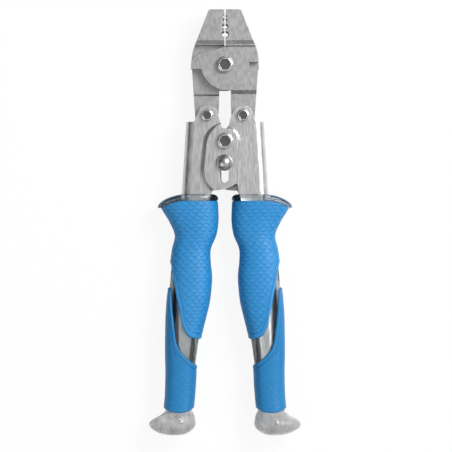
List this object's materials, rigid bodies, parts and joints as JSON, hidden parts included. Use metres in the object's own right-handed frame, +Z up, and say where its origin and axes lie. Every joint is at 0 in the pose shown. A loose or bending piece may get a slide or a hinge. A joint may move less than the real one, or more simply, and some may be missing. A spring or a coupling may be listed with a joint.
{
  "type": "crimping pliers",
  "caption": "Hand crimping pliers for wire rope sleeves: two lapped crimping jaws, folded steel arms and long cushioned grips, linked so that squeezing the grips closes the jaws with great force.",
  "frame": {"origin": "centre of the flat rear face of the handle pivot nut, on the plane that the pliers lie on", "axes": "+Y towards the jaws along the tool, +X to the right seen from the front, +Z up out of the front face"},
  "size_m": [0.0906, 0.2552, 0.0266],
  "materials": {
    "jaw_steel": "ground and satin blasted stainless steel",
    "arm_steel": "satin folded stainless sheet",
    "fastener_steel": "turned and polished stainless steel",
    "spring_steel": "oiled spring wire",
    "clear_plastic": "clear glossy moulded plastic",
    "blue_rubber": "soft blue rubber with a pressed fish-scale pattern"
  },
  "bodies": {
    "right_arm": {"right_arm": "arm_steel", "right_grip_core": "clear_plastic", "right_upper_sleeve": "blue_rubber", "right_lower_sleeve": "blue_rubber", "right_link_bolt": "fastener_steel", "right_link_nut": "fastener_steel", "handle_pivot_bolt": "fastener_steel", "handle_pivot_nut": "fastener_steel", "pivot_sleeve": "fastener_steel", "opening_spring": "spring_steel"},
    "left_arm": {"left_arm": "arm_steel", "left_grip_core": "clear_plastic", "left_upper_sleeve": "blue_rubber", "left_lower_sleeve": "blue_rubber", "left_link_bolt": "fastener_steel", "left_link_nut": "fastener_steel"},
    "right_jaw": {"right_jaw": "jaw_steel", "jaw_pivot_bolt": "fastener_steel", "jaw_pivot_washer": "fastener_steel", "jaw_pivot_nut": "fastener_steel"},
    "left_jaw": {"left_jaw": "jaw_steel"},
    "lock": {"lock_knob": "fastener_steel", "lock_pin": "fastener_steel", "lock_inner_washer": "fastener_steel", "lock_spring_washer": "spring_steel"}
  },
  "joints": [
    {"name": "handles", "type": "hinge", "parent": "right_arm", "child": "left_arm", "pos_m": [0, 0, 0.0125], "axis": [0, 0, -1], "range_deg": [-2.35, 22.5], "stiffness_Nm_per_rad": 0.3, "springref_deg": 22.35, "deforming": ["opening_spring"]},
    {"name": "right_link", "type": "hinge", "parent": "right_arm", "child": "right_jaw", "pos_m": [0.0108, 0.0155, 0.0125], "axis": [0, 0, -1], "range_deg": [-1.8, 17.25]},
    {"name": "left_link", "type": "hinge", "parent": "left_arm", "child": "left_jaw", "pos_m": [-0.0108, 0.0155, 0.0125], "axis": [0, 0, 1], "range_deg": [-1.8, 17.25]},
    {"name": "lock_slide", "type": "slide", "parent": "right_arm", "child": "lock", "axis": [0, -1, 0], "range_m": [0, 0.0094]}
  ],
  "couplings": [
    {"joint": "right_link", "follows": "handles", "ratio": 0.7655},
    {"joint": "left_link", "follows": "handles", "ratio": 0.7655}
  ]
}
